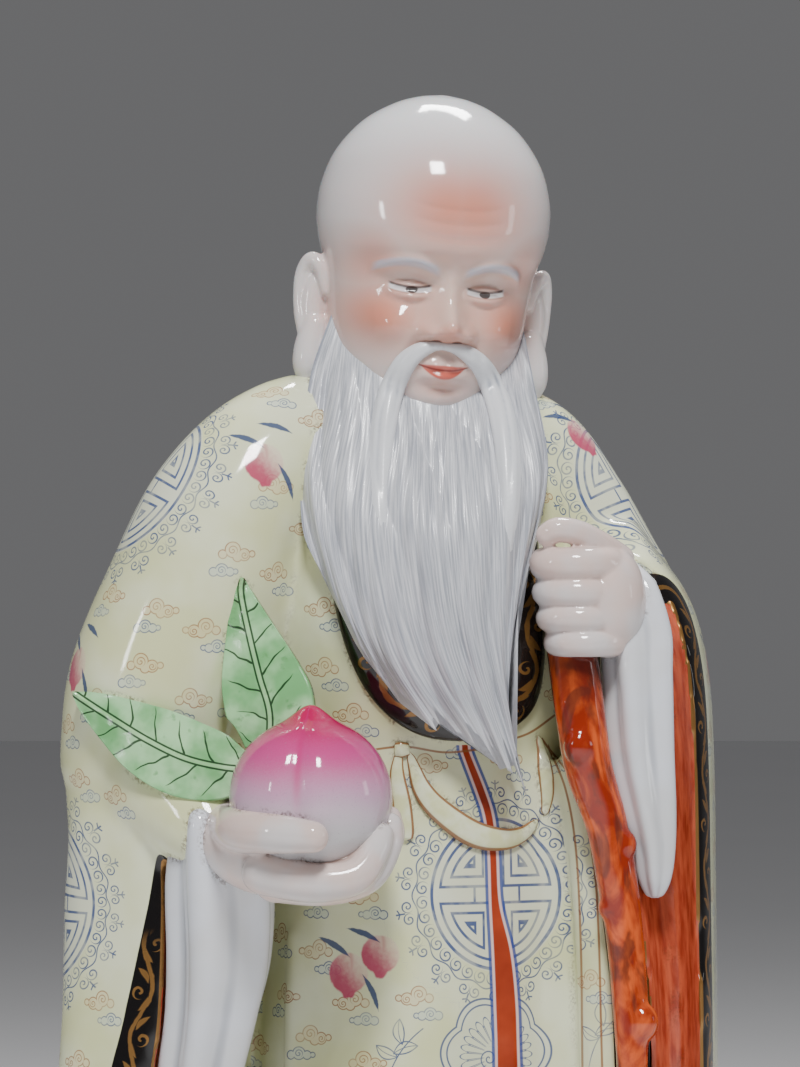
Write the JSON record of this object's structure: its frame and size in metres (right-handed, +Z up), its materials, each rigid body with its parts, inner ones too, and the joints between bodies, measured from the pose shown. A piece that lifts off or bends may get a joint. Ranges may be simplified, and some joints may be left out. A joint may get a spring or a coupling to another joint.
{
  "type": "porcelain figure",
  "caption": "Standing glazed porcelain figure of a long-bearded old man in robes, holding a peach on one palm and a gnarled staff in the other hand, on a low plinth.",
  "frame": {"origin": "middle of the plinth's flat underside, below the upright axis of the robe", "axes": "+Z up through the crown; -Y is the front of the robe; +X is the figure's own left, the side of the staff"},
  "size_m": [0.2279, 0.1533, 0.4996],
  "materials": {
    "glazed_porcelain": "glossy clear glaze over white porcelain, with pale yellow, blue, green, pink, iron red, black and gilt overglaze enamels"
  },
  "bodies": {
    "root": {"shoulao_figure": "glazed_porcelain"}
  },
  "joints": []
}
